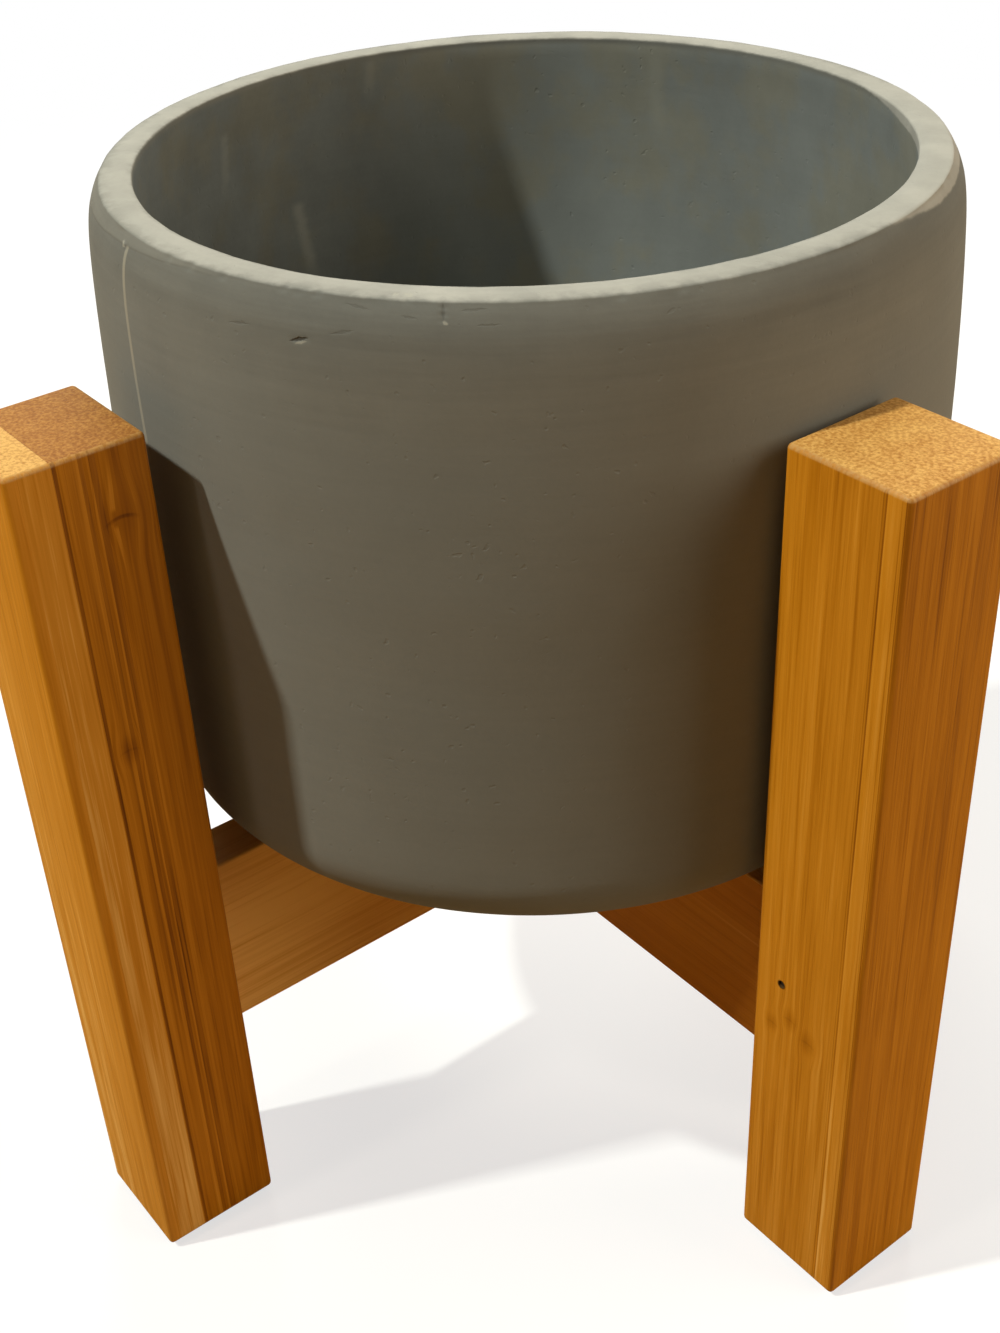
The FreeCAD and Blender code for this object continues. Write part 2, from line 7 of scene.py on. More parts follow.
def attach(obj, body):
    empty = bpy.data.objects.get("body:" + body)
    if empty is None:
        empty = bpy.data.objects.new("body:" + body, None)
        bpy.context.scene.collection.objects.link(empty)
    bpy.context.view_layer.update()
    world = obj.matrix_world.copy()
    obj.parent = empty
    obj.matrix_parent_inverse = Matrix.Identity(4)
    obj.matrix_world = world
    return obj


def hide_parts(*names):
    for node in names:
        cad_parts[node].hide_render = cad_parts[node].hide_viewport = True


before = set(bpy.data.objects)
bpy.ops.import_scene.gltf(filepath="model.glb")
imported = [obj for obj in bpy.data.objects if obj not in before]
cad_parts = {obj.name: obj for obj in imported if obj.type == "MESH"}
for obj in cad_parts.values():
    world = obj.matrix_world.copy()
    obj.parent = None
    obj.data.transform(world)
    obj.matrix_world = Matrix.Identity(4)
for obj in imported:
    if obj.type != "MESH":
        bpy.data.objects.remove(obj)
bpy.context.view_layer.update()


# Legs: four square posts, glued up from carbonised bamboo strips that run their whole length,
# sanded, oiled and set on the diagonals. Each is pinned to its crossbar by a brad in one side.
LEG_SIDE = 0.040
LEG_FOOT = 0.002
LEG_TOP = 0.292
LEG_REACH = 0.1545
LEG_ARRIS = 0.0015
SEAM_WIDTH = 0.00030
SEAM_DEPTH = 0.00014
BRAD_IN = 0.0105
BRAD_HEIGHT = 0.1175
BRAD_HOLE = 0.00125
BRAD_HOLE_DEPTH = 0.0012


class Wire:
    """A socket of a material under way. A sum written with wires adds its Math nodes."""

    def __init__(self, tree, socket=None):
        self.tree = tree
        self.socket = socket

    def node(self, kind, settings=None, sockets=None, out=0):
        """A new node: its settings come first, then the values or wires of its sockets."""
        node = self.tree.nodes.new("ShaderNode" + kind)
        for name, value in (settings or {}).items():
            if name == "stops":
                stops = node.color_ramp.elements
                for number, (place, colour) in enumerate(value):
                    stop = stops[number] if number < len(stops) else stops.new(place)
                    stop.position = place
                    stop.color = (*colour, 1) if isinstance(colour, tuple) else (colour, colour, colour, 1)
            elif name == "interpolation":
                node.color_ramp.interpolation = value
            else:
                setattr(node, name, value)
        for name, value in (sockets or {}).items():
            open_sockets = [socket for socket in node.inputs if socket.enabled]
            if isinstance(name, str):
                open_sockets = [socket for socket in open_sockets if socket.name == name]
                name = 0
            if isinstance(value, Wire):
                self.tree.links.new(value.socket, open_sockets[name])
            else:
                open_sockets[name].default_value = value
        outputs = [socket for socket in node.outputs if socket.enabled]
        if isinstance(out, str):
            outputs = [socket for socket in outputs if socket.name == out]
            out = 0
        return Wire(self.tree, outputs[out] if outputs else None)

    def math(self, operation, *others):
        return self.node("Math", {"operation": operation}, dict(enumerate((self, *others))))

    def __add__(self, other):
        return self.math("ADD", other)

    def __sub__(self, other):
        return self.math("SUBTRACT", other)

    def __rsub__(self, other):
        return self.node("Math", {"operation": "SUBTRACT"}, {0: other, 1: self})

    def __mul__(self, other):
        return self.math("MULTIPLY", other)

    def __truediv__(self, other):
        return self.math("DIVIDE", other)

    def __abs__(self):
        return self.math("ABSOLUTE")

    __radd__ = __add__
    __rmul__ = __mul__


def rise(wire, low, high):
    """From 0 below low to 1 above high, with soft ends."""
    return wire.node("MapRange", {"interpolation_type": "SMOOTHSTEP"},
                     {"Value": wire, "From Min": low, "From Max": high})


def band(wire, middle, half, soft):
    """1 within half of the middle, and 0 from soft further out."""
    return 1 - rise(abs(wire - middle), half, half + soft)


def distance(*parts):
    """How far a point lies from zero, given its parts along each axis."""
    return sum(part * part for part in parts).math("SQRT")


def noise(place, scale, detail=2, roughness=0.5):
    """Clouds from 0 to 1 about a half; scale counts them in a metre, along each axis."""
    stretched = place.node("VectorMath", {"operation": "MULTIPLY"}, {0: place, 1: scale})
    return place.node("TexNoise", None, {"Vector": stretched, "Scale": 1, "Detail": detail,
                                         "Roughness": roughness})


def blend(share, first, second):
    """A colour between two, by share."""
    return share.node("Mix", {"data_type": "RGBA"}, {"Factor": share, "A": first, "B": second})


def new_finish(name):
    """An empty material and a wire that starts it."""
    finish = bpy.data.materials.new(name)
    finish.use_nodes = True
    finish.node_tree.nodes.clear()
    return finish, Wire(finish.node_tree)


def close_finish(start, height, depth, **sockets):
    """Ends a material with its shader. height is a relief, and depth what 1 of it stands for."""
    relief = start.node("Bump", None, {"Height": height, "Distance": depth, "Strength": 1})
    shader = start.node("BsdfPrincipled", None, {
        **{name.replace("_", " "): value for name, value in sockets.items()}, "Normal": relief})
    start.node("OutputMaterial", None, {"Surface": shader})


def local_place(start, centre, turn):
    """The surface's place in a frame of its own, centred and turned as the piece is."""
    place = start.node("TexCoord", out="Object")
    return start.node("Mapping", {"vector_type": "TEXTURE"},
                      {"Vector": place, "Location": centre, "Rotation": (0, 0, turn)})


def local_place_of_normal(facing, turn):
    """A direction as the turned piece sees it."""
    return facing.node("Mapping", {"vector_type": "TEXTURE"}, {"Vector": facing, "Rotation": (0, 0, turn)})


BAMBOO_STOPS = [(0, (0.110, 0.027, 0.0004)), (0.25, (0.260, 0.078, 0.0006)),
                (0.5, (0.445, 0.154, 0.0025)), (0.7, (0.580, 0.222, 0.0100)),
                (0.85, (0.690, 0.294, 0.0290)), (1, (0.950, 0.560, 0.1600))]
SAWN_STOPS = [(0, (0.135, 0.036, 0.004)), (0.5, (0.315, 0.115, 0.016)),
              (0.75, (0.495, 0.230, 0.048)), (1, (0.730, 0.420, 0.121))]
BOLD_KNOT = 0.0032


def bamboo(name, centre, turn, lying, span, strips, ends, knots=(), seed=0, figure=1):
    """Laminated bamboo. Strips and ends list where each strip starts across span, and its tone
    from dark, 0, to pale, 1; knots list across, along, side and size, and show boldly from
    BOLD_KNOT up; figure is how streaky it is, which a dark strip shows more than a pale one."""
    finish, start = new_finish(name)
    place = local_place(start, centre, turn)
    parts = [place.node("SeparateXYZ", None, {0: place}, out=axis) for axis in "XYZ"]
    across, side, along = (parts[2], parts[1], parts[0]) if lying else parts
    facing = local_place_of_normal(start.node("TexCoord", out="Normal"), turn)
    end_on = abs(facing.node("SeparateXYZ", None, {0: facing}, out="X" if lying else "Z"))
    end_grain = rise(end_on, 0.75, 0.95)
    arris_wear_and_highlight = rise(end_on, 0.08, 0.35) * (1 - rise(end_on, 0.9, 0.98))

    # The fibres bulge round each knot
    swerve = 0
    shade = 0
    rays = 0
    for knot_across, knot_along, knot_side, size in knots:
        beside = across - knot_across
        above = along - knot_along
        on_side = rise(side * knot_side, LEG_SIDE * 0.4, LEG_SIDE * 0.48)
        reach = distance(beside / (size * 1.6), above / (size * 2.6))
        near = (1 - rise(reach, 0.1, 1.6)) * on_side
        swerve = swerve + near * beside * 0.45
        brow = band(distance(beside * 0.75, above + size), size, size * 0.05, size * 0.16)
        brow = brow * rise(above, -size * 0.5, size * 0.1) * on_side
        deep = 1 if size > BOLD_KNOT else 0.3
        shade = shade + brow * 0.26 * deep + (1 - rise(reach, 0, 0.9)) * on_side * (0.24 - deep * 0.18)
        ray = (1 - rise(distance(beside / (size * 1.1), above / (size * 4.4)), 0.3, 1.2)) * on_side
        if size > BOLD_KNOT:
            rays = rays + ray * rise(abs(above), size * 0.35, size * 0.8)
    fibre_across = across - swerve
    grain = start.node("CombineXYZ", None, {0: fibre_across + seed, 1: side + seed * 0.7, 2: along})
    broad = noise(grain, (70, 70, 2.2), 2)
    streak = noise(grain, (380, 380, 9), 3, 0.6)
    fine = noise(grain, (1300, 1300, 26), 2, 0.6)
    vein = rise(noise(grain, (440, 440, 12), 2), 0.54, 0.66)
    pore = rise(noise(grain, (1600, 1600, 20), 1), 0.56, 0.70)

    share = across / span + 0.5
    tone = start.node("ValToRGB", {"interpolation": "CONSTANT", "stops": strips}, {0: share})
    wander = (broad - 0.5) * 0.22 + (streak - 0.5) * 0.30 - vein * 0.08 + (fine - 0.5) * 0.24
    wander = (wander - pore * 0.06) * (1.45 - tone) * figure
    # Painted light: the legs' sides are painted paler towards the foot and darker towards the top, standing in for
    # the warm light the floor throws up
    if not lying:
        tone = tone + (0.15 - along) * 0.5
    tone = tone + wander - shade + rise(noise(grain, (620, 620, 9), 2), 0.50, 0.60) * rays * 0.34
    side_colour = start.node("ValToRGB", {"stops": BAMBOO_STOPS}, {0: tone})

    # Sawn ends show the fibre bundles as dots, closer together towards the culm's skin
    dot_place = start.node("CombineXYZ", None, {0: across + seed, 1: side, 2: along * 0.02})
    crowd = noise(dot_place, (60, 60, 1), 1)
    dots = dot_place.node("TexVoronoi", {"feature": "F1"}, {"Vector": dot_place, "Scale": 760}, out="Distance")
    dots = 1 - rise(dots, 0.12, 0.42)
    worn = noise(dot_place, (130, 130, 1), 3, 0.6)
    speckle = rise(noise(dot_place, (900, 900, 1), 2, 0.6), 0.36, 0.64)
    end_tone = start.node("ValToRGB", {"interpolation": "CONSTANT", "stops": ends}, {0: share})
    end_tone = end_tone + (worn - 0.5) * 0.34 + (speckle - 0.5) * 0.20 - dots * (0.04 + crowd * 0.16)
    end_colour = start.node("ValToRGB", {"stops": SAWN_STOPS}, {0: end_tone})

    colour = blend(end_grain, side_colour, end_colour)
    # The rounded arrises at the ends are painted pale: partly sanded wear, partly a painted highlight on the
    # rounding
    colour = blend(arris_wear_and_highlight * (0.35 + speckle * 0.45), colour, (0.56, 0.31, 0.10, 1))
    if not lying:
        # The brad's hole is painted almost black, fading out just past its edge: painted shade in the hole
        hole = distance(across - (BRAD_IN - LEG_SIDE / 2), along - BRAD_HEIGHT)
        hole = (1 - rise(hole, BRAD_HOLE * 0.95, BRAD_HOLE * 1.5)) * rise(side * -1, 0.015, 0.018)
        colour = blend(hole * 0.92, colour, (0.020, 0.007, 0.002, 1))
    relief = streak * 0.5 + fine * 0.3 - pore * 0.4 - dots * end_grain * 0.8
    close_finish(start, relief, 0.00008, Base_Color=colour,
                 Roughness=0.46 + (fine - 0.5) * 0.16 + end_grain * 0.2, Specular_IOR_Level=0.2)
    return finish


def dress(node, finish):
    """Gives a CAD piece its material."""
    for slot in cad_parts[node].material_slots:
        slot.material = finish


def leg_place(toward, height=0):
    """The middle of the leg in that direction, at a height."""
    return LEG_REACH * math.cos(toward), LEG_REACH * math.sin(toward), height


def begin_edit(piece):
    """Edit mode on one piece's vertices, with nothing selected."""
    bpy.ops.object.select_all(action="DESELECT")
    bpy.context.view_layer.objects.active = piece
    piece.select_set(True)
    bpy.context.tool_settings.mesh_select_mode = [True, False, False]
    bpy.ops.object.mode_set(mode="EDIT")
    bpy.ops.mesh.select_all(action="DESELECT")


def choose(piece, chosen, kind="verts"):
    """Selects the vertices, edges or faces that chosen accepts, by their place or normal."""
    bpy.ops.object.mode_set(mode="OBJECT")
    mesh = piece.data
    for group in (mesh.vertices, mesh.edges, mesh.polygons):
        group.foreach_set("select", [False] * len(group))
    group = {"verts": mesh.vertices, "edges": mesh.edges, "faces": mesh.polygons}[kind]
    for item in group:
        item.select = chosen(item)
    bpy.context.tool_settings.mesh_select_mode = [kind == "verts", kind == "edges", kind == "faces"]
    bpy.ops.object.mode_set(mode="EDIT")


def set_down(piece):
    """Puts a finished piece's place into its mesh."""
    bpy.ops.object.mode_set(mode="OBJECT")
    bpy.ops.object.transform_apply(location=True, rotation=True, scale=True)


def new_leg(corner, toward, seams, finish):
    """A post, modelled in its own turned frame: +X points away from the middle of the stand."""
    bpy.ops.object.select_all(action="DESELECT")
    bpy.ops.mesh.primitive_cube_add(size=1, location=(0, 0, (LEG_FOOT + LEG_TOP) / 2),
                                    scale=(LEG_SIDE, LEG_SIDE, LEG_TOP - LEG_FOOT))
    leg = bpy.context.object
    leg.name = f"bamboo_leg_{corner}"
    set_down(leg)
    begin_edit(leg)
    bpy.ops.mesh.select_all(action="SELECT")
    bpy.ops.mesh.bevel(offset=LEG_ARRIS, segments=4, affect="EDGES")
    for seam in seams:
        for shift in (-SEAM_WIDTH, 0, SEAM_WIDTH):
            bpy.ops.mesh.select_all(action="SELECT")
            bpy.ops.mesh.bisect(plane_co=(seam - LEG_SIDE / 2 + shift, 0, 0), plane_no=(1, 0, 0))
    at_seams = [seam - LEG_SIDE / 2 for seam in seams]
    choose(leg, lambda vertex: any(abs(vertex.co.x - seam) < 0.00001 for seam in at_seams)
           and LEG_FOOT + 0.001 < vertex.co.z < LEG_TOP - 0.001)
    bpy.ops.transform.shrink_fatten(value=-SEAM_DEPTH)
    set_down(leg)

    # The brad's hole, a little below the surface of the side that faces clockwise
    bpy.ops.mesh.primitive_cylinder_add(
        vertices=24, radius=BRAD_HOLE, depth=2 * BRAD_HOLE_DEPTH, rotation=(math.pi / 2, 0, 0),
        location=(BRAD_IN - LEG_SIDE / 2, -LEG_SIDE / 2, BRAD_HEIGHT))
    drill = bpy.context.object
    bore = leg.modifiers.new("brad_hole", "BOOLEAN")
    bore.operation = "DIFFERENCE"
    bore.solver = "EXACT"
    bore.object = drill
    bpy.context.view_layer.objects.active = leg
    bpy.ops.object.modifier_apply(modifier=bore.name)
    bpy.data.objects.remove(drill)

    bpy.ops.object.select_all(action="DESELECT")
    leg.select_set(True)
    leg.rotation_euler.z = toward
    leg.location = leg_place(toward)
    set_down(leg)
    bpy.ops.object.shade_smooth_by_angle(angle=math.radians(32))
    leg.data.materials.append(finish)
    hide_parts(f"leg_{corner}")
    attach(leg, "stand")


LEG_STRIPS = {
    "front_left": {
        "seams": [0.0148, 0.0183, 0.0262, 0.0362],
        "strips": [(0, 0.53), (0.325, 0.63), (0.345, 0.50), (0.37, 0.32), (0.415, 0.66), (0.43, 0.52),
                   (0.458, 0.32), (0.49, 0.63), (0.52, 0.52), (0.575, 0.60), (0.637, 0.27), (0.665, 0.70),
                   (0.672, 0.86), (0.905, 0.78)],
        "ends": [(0, 0.60), (0.672, 0.95)],
        "knots": [(-0.0094, 0.271, 1, 0.0042), (0.0008, 0.2005, 1, 0.0030)],
    },
    "front_right": {
        "seams": [0.0328, 0.0388],
        "strips": [(0, 0.73), (0.40, 0.62), (0.53, 0.67), (0.60, 0.72), (0.79, 0.54), (0.798, 0.70), (0.812, 0.48),
                   (0.822, 0.82), (0.93, 0.66), (0.94, 0.80), (0.962, 0.46), (0.972, 0.58)],
        "ends": [(0, 0.86), (0.5, 0.84)],
        "knots": [(-0.0123, 0.100, -1, 0.0022), (-0.0053, 0.106, -1, 0.0026), (0.002, 0.102, -1, 0.0030)],
    },
    "rear_right": {
        "seams": [0.0092, 0.0188, 0.0282],
        "strips": [(0, 0.66), (0.23, 0.74), (0.47, 0.62), (0.705, 0.71)],
        "ends": [(0, 0.70), (0.47, 0.77)],
        "knots": [(0.004, 0.171, 1, 0.0036)],
    },
    "rear_left": {
        "seams": [0.0104, 0.0207, 0.0305],
        "strips": [(0, 0.70), (0.26, 0.57), (0.5175, 0.68), (0.7625, 0.75)],
        "ends": [(0, 0.75), (0.5175, 0.68)],
        "knots": [(-0.006, 0.214, -1, 0.0034)],
    },
}
CORNER_ANGLES = {"front_left": -135, "front_right": -45, "rear_right": 45, "rear_left": 135}
for number, (corner, degrees) in enumerate(CORNER_ANGLES.items()):
    toward = math.radians(degrees)
    made = LEG_STRIPS[corner]
    finish = bamboo(f"oiled_bamboo_{corner}", leg_place(toward), toward, False, LEG_SIDE,
                    made["strips"], made["ends"], made["knots"], 0.37 * number, 1.75)
    new_leg(corner, toward, made["seams"], finish)


# Crossbars: two boards of the same bamboo, glued up from three strips on edge and halved into
# each other under the pot. Their ends are dowelled to the legs.
BAR_DEPTH = 0.064
BAR_BOTTOM = 0.073
BAR_STRIPS = {
    # The bars' strips are paler than the legs', the lower bar's near the palest tone: partly a paler bamboo,
    # partly painted light for the warm light the floor throws under the pot
    "crossbar_lower": ([(0, 0.97), (0.34, 1), (0.67, 0.98), (0.985, 1)], math.radians(45), 1.3),
    "crossbar_upper": ([(0, 0.76), (0.31, 0.81), (0.66, 0.72), (0.985, 0.95)], math.radians(-45), 2.1),
}
for bar, (strips, turn, seed) in BAR_STRIPS.items():
    finish = bamboo(f"oiled_bamboo_{bar}", (0, 0, BAR_BOTTOM + BAR_DEPTH / 2), turn, True, BAR_DEPTH,
                    strips, strips, seed=seed)
    dress(bar, finish)


# Dowels: birch rods, two to each joint, glued into leg and bar and out of sight. Their wood is
# plain and unfinished, with a fluted grain along the rod.
finish, start = new_finish("raw_birch")
place = start.node("TexCoord", out="Object")
rings = noise(place, (900, 900, 900), 3)
flecks = rise(noise(place, (2600, 2600, 2600), 1), 0.6, 0.75)
close_finish(start, rings, 0.0001, Roughness=0.75, Base_Color=blend(
    rings * 0.8 + flecks * 0.2, (0.62, 0.46, 0.28, 1), (0.44, 0.29, 0.15, 1)))
for corner in CORNER_ANGLES:
    for level in ("upper", "lower"):
        dress(f"dowel_{corner}_{level}", finish)


# Brads and lap screw: a blued steel brad in each leg, sunk under the surface, and a zinc plated
# countersunk screw that goes up through the halved joint.
finish, start = new_finish("blued_steel")
place = start.node("TexCoord", out="Object")
scale = noise(place, (3000, 3000, 3000), 3)
close_finish(start, scale, 0.00002, Metallic=0.9, Roughness=0.35 + scale * 0.3, Base_Color=blend(
    scale, (0.030, 0.028, 0.027, 1), (0.085, 0.070, 0.058, 1)))
for corner in CORNER_ANGLES:
    dress(f"brad_{corner}", finish)
finish, start = new_finish("plated_zinc")
place = start.node("TexCoord", out="Object")
spangle = noise(place, (1400, 1400, 1400), 2)
close_finish(start, spangle, 0.00001, Metallic=0.95, Roughness=0.28 + spangle * 0.2, Base_Color=blend(
    spangle, (0.62, 0.60, 0.52, 1), (0.52, 0.47, 0.33, 1)))
dress("lap_screw", finish)


# Foot pads: discs punched from brown felt and stuck under the legs. The punch leaves their edges
# soft, and the felt is a little fuzzy.
PAD_RADIUS = 0.014
PAD_EDGE = 0.00045
NAP_DEPTH = 0.00022
NAP_SIZE = 0.0011
finish, start = new_finish("brown_felt")
place = start.node("TexCoord", out="Object")
fuzz = noise(place, (2200, 2200, 2200), 4, 0.7)
tufts = noise(place, (420, 420, 420), 2)
close_finish(start, fuzz + tufts * 0.5, 0.0004, Roughness=0.95, Sheen_Weight=0.4, Base_Color=blend(
    fuzz * 0.7 + tufts * 0.3, (0.060, 0.038, 0.024, 1), (0.190, 0.130, 0.088, 1)))


def new_pad(corner, toward, finish):
    """A disc of felt under one leg."""
    bpy.ops.object.select_all(action="DESELECT")
    bpy.ops.mesh.primitive_cylinder_add(vertices=96, radius=PAD_RADIUS, depth=LEG_FOOT,
                                        location=leg_place(toward, LEG_FOOT / 2))
    felt = bpy.context.object
    felt.name = f"felt_pad_{corner}"
    set_down(felt)
    begin_edit(felt)
    choose(felt, lambda face: abs(face.normal.z) > 0.9, "faces")
    for inset in (0.0009, 0.0016, 0.0026, 0.0032):
        bpy.ops.mesh.inset(thickness=inset)

    def is_punched(edge):
        """Whether an edge runs round the disc at its top or bottom."""
        ends = [felt.data.vertices[end].co for end in edge.vertices]
        return round(ends[0].z, 5) == round(ends[1].z, 5) and all(
            math.dist(end.xy, leg_place(toward)[:2]) > PAD_RADIUS * 0.995 for end in ends)

    choose(felt, is_punched, "edges")
    bpy.ops.mesh.bevel(offset=PAD_EDGE, segments=3, affect="EDGES")
    bpy.ops.object.mode_set(mode="OBJECT")
    nap = bpy.data.textures.new(f"nap_{corner}", "CLOUDS")
    nap.noise_scale = NAP_SIZE
    fluff = felt.modifiers.new("nap", "DISPLACE")
    fluff.texture = nap
    fluff.texture_coords = "LOCAL"
    fluff.mid_level = 1
    fluff.strength = NAP_DEPTH
    bpy.ops.object.modifier_apply(modifier=fluff.name)
    bpy.ops.object.shade_smooth_by_angle(angle=math.radians(50))
    felt.data.materials.append(finish)
    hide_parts(f"foot_pad_{corner}")
    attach(felt, "stand")


for corner, degrees in CORNER_ANGLES.items():
    new_pad(corner, math.radians(degrees), finish)


# Pot: cast in a two-part mould from grey cement and rubbed down by hand, so its rim is pale and
# a little uneven, a mould seam shows at one side, and the skin has small chips near the rim.
POT_X = 0.005889
POT_Y = -0.0018145
POT_FOOT = 0.137
POT_HEIGHT = 0.1965
BELLY_RADIUS = 0.1278
BELLY_HEIGHT = 0.115
SHOULDER_HEIGHT = POT_HEIGHT - BELLY_HEIGHT
SHOULDER_LEAN = 0.0030
SHOULDER_ROUND = 0.0042
RIM_INNER_RADIUS = 0.1109
INSIDE_RADIUS = 0.1165
OUTER_LIP_ROUND = 0.0012
INNER_LIP_ROUND = 0.0011
LOW_RADIUS = 0.1269
CORNER_ROUND = 0.024
WALL = 0.012
FLOOR = 0.014
INNER_CORNER_ROUND = 0.018
RECESS_RADIUS = 0.046
RECESS_DEPTH = 0.003
PLUG_SEAT_RADIUS = 0.0143
PLUG_SEAT_DEPTH = 0.003
DRAIN_TOP_RADIUS = 0.009
DRAIN_LOW_RADIUS = 0.0084
SHARP_EDGE_ROUND = 0.0005
WEDGE_STEPS = 36
WEDGES = 8


def arc(start, direction, end, count):
    """Points of the arc that leaves start along direction and ends at end, turning left."""
    start, direction, end = Vector(start), Vector(direction), Vector(end)
    leftward = Vector((-direction.y, direction.x)).normalized()
    chord = end - start
    radius = chord.dot(chord) / (2 * chord.dot(leftward))
    centre = start + leftward * radius
    first = math.atan2(start.y - centre.y, start.x - centre.x)
    last = math.atan2(end.y - centre.y, end.x - centre.x)
    steps = [first + (last - first) * step / count for step in range(1, count + 1)]
    return [(centre.x + radius * math.cos(step), centre.y + radius * math.sin(step)) for step in steps]


def run(start, end, count):
    """Points of a straight run, without its start."""
    return [(start[0] + (end[0] - start[0]) * step / count, start[1] + (end[1] - start[1]) * step / count)
            for step in range(1, count + 1)]


def shoulder_radius(share):
    """The pot's radius above its widest place, where share is 0, up to the rim, where it is 1."""
    return BELLY_RADIUS - SHOULDER_LEAN * share ** 2 - SHOULDER_ROUND * share ** 14


# The profile, as radius and height above the pot's base. LOW_RADIUS is the pot's radius where
# its wall ends in the rounding of the bottom. Places within INSIDE_RADIUS belong to the inside.
belly = (BELLY_RADIUS, BELLY_HEIGHT)
corner_foot = (LOW_RADIUS - CORNER_ROUND, 0)
corner_top = (LOW_RADIUS, CORNER_ROUND)
inner_lip = (RIM_INNER_RADIUS, POT_HEIGHT)
inner_belly = (BELLY_RADIUS - WALL, BELLY_HEIGHT)
inner_corner_top = (LOW_RADIUS - WALL, FLOOR + INNER_CORNER_ROUND)
floor_edge = (LOW_RADIUS - WALL - INNER_CORNER_ROUND, FLOOR)
plug_seat = [(PLUG_SEAT_RADIUS, FLOOR), (PLUG_SEAT_RADIUS, FLOOR - PLUG_SEAT_DEPTH),
             (DRAIN_TOP_RADIUS, FLOOR - PLUG_SEAT_DEPTH)]
drain_low = (DRAIN_LOW_RADIUS, RECESS_DEPTH)
recess_edge = [(RECESS_RADIUS, RECESS_DEPTH), (RECESS_RADIUS, 0)]

wall_line = (BELLY_RADIUS - LOW_RADIUS, BELLY_HEIGHT - CORNER_ROUND)
shoulder = []
for step in range(1, 41):
    share = 1 - (1 - step / 40) ** 1.35
    shoulder.append((shoulder_radius(share), BELLY_HEIGHT + SHOULDER_HEIGHT * share))
outer_lip = shoulder[-1]
inner_shoulder = arc(inner_belly, wall_line, inner_lip, 26)
inner_corner = arc(floor_edge, (1, 0), inner_corner_top, 10)
profile = [drain_low]
profile += run(profile[-1], recess_edge[0], 7) + recess_edge[1:]
profile += run(profile[-1], corner_foot, 9)
profile += arc(profile[-1], (1, 0), corner_top, 14)
profile += run(profile[-1], belly, 22) + shoulder
profile += run(profile[-1], inner_lip, 8)
profile += inner_shoulder[-2::-1] + [inner_belly]
profile += run(profile[-1], inner_corner_top, 20)
profile += inner_corner[-2::-1] + [floor_edge]
profile += run(profile[-1], plug_seat[0], 14) + plug_seat[1:] + [drain_low]

bpy.ops.object.select_all(action="DESELECT")
bpy.ops.mesh.primitive_plane_add(size=0.001, location=(POT_X + profile[0][0], POT_Y, POT_FOOT + profile[0][1]))
pot = bpy.context.object
pot.name = "cement_pot"
set_down(pot)
begin_edit(pot)
bpy.ops.mesh.select_all(action="SELECT")
bpy.ops.mesh.merge(type="CENTER")
for (radius, height), (next_radius, next_height) in zip(profile, profile[1:]):
    bpy.ops.mesh.extrude_region_move(
        TRANSFORM_OT_translate={"value": (next_radius - radius, 0, next_height - height)})


def at_corner(vertex, *corners):
    """Whether a vertex of the flat profile is one of those corners."""
    return any(math.dist((vertex.co.x - POT_X, vertex.co.z - POT_FOOT), corner) < 0.0001 for corner in corners)


for rounding, segments, corners in ((OUTER_LIP_ROUND, 5, [outer_lip]), (INNER_LIP_ROUND, 5, [inner_lip]),
                                    (SHARP_EDGE_ROUND, 2, recess_edge + plug_seat)):
    choose(pot, lambda vertex: at_corner(vertex, *corners))
    bpy.ops.mesh.bevel(offset=rounding, segments=segments, affect="VERTICES")

# One wedge is spun from the profile, and the rest are copies of it
pot_axis = {"center": (POT_X, POT_Y, POT_FOOT), "axis": (0, 0, 1)}
bpy.ops.mesh.select_all(action="SELECT")
bpy.ops.mesh.spin(steps=WEDGE_STEPS, angle=math.tau / WEDGES, **pot_axis)
bpy.ops.mesh.select_all(action="SELECT")
bpy.ops.mesh.spin(steps=WEDGES - 1, dupli=True, angle=math.tau * (WEDGES - 1) / WEDGES, **pot_axis)
bpy.ops.mesh.select_all(action="SELECT")
bpy.ops.mesh.remove_doubles(threshold=0.00002)
bpy.ops.mesh.normals_make_consistent(inside=False)


def polar(place):
    """Angle about the pot's axis in degrees, radius, and depth under the rim."""
    return (math.degrees(math.atan2(place[1] - POT_Y, place[0] - POT_X)),
            math.hypot(place[0] - POT_X, place[1] - POT_Y), POT_FOOT + POT_HEIGHT - place[2])


# The front of the rim gets a closer mesh, for the marks that the camera sees best
def front_of_rim(face):
    angle, radius, depth = polar(face.center)
    return -142 < angle < -62 and radius > 0.1135 and depth < 0.018


choose(pot, front_of_rim, "faces")
bpy.ops.mesh.subdivide(number_cuts=2)
bpy.ops.mesh.select_all(action="DESELECT")
bpy.ops.object.mode_set(mode="OBJECT")
skin = kdtree.KDTree(len(pot.data.vertices))
for vertex in pot.data.vertices:
    skin.insert(vertex.co, vertex.index)
skin.balance()


def dab(angle, depth, push, reach):
    """Pushes the skin in at one place near the rim, fading out over reach."""
    turn = math.radians(angle)
    radius = shoulder_radius(1 - depth / SHOULDER_HEIGHT)
    goal = pot.data.vertices[skin.find((POT_X + radius * math.cos(turn), POT_Y + radius * math.sin(turn),
                                        POT_FOOT + POT_HEIGHT - depth))[1]]
    inward = goal.normal * -push
    goal.select = True
    bpy.ops.object.mode_set(mode="EDIT")
    bpy.ops.transform.translate(value=inward, use_proportional_edit=True,
                                proportional_edit_falloff="SMOOTH", proportional_size=reach)
    bpy.ops.mesh.select_all(action="DESELECT")
    bpy.ops.object.mode_set(mode="OBJECT")


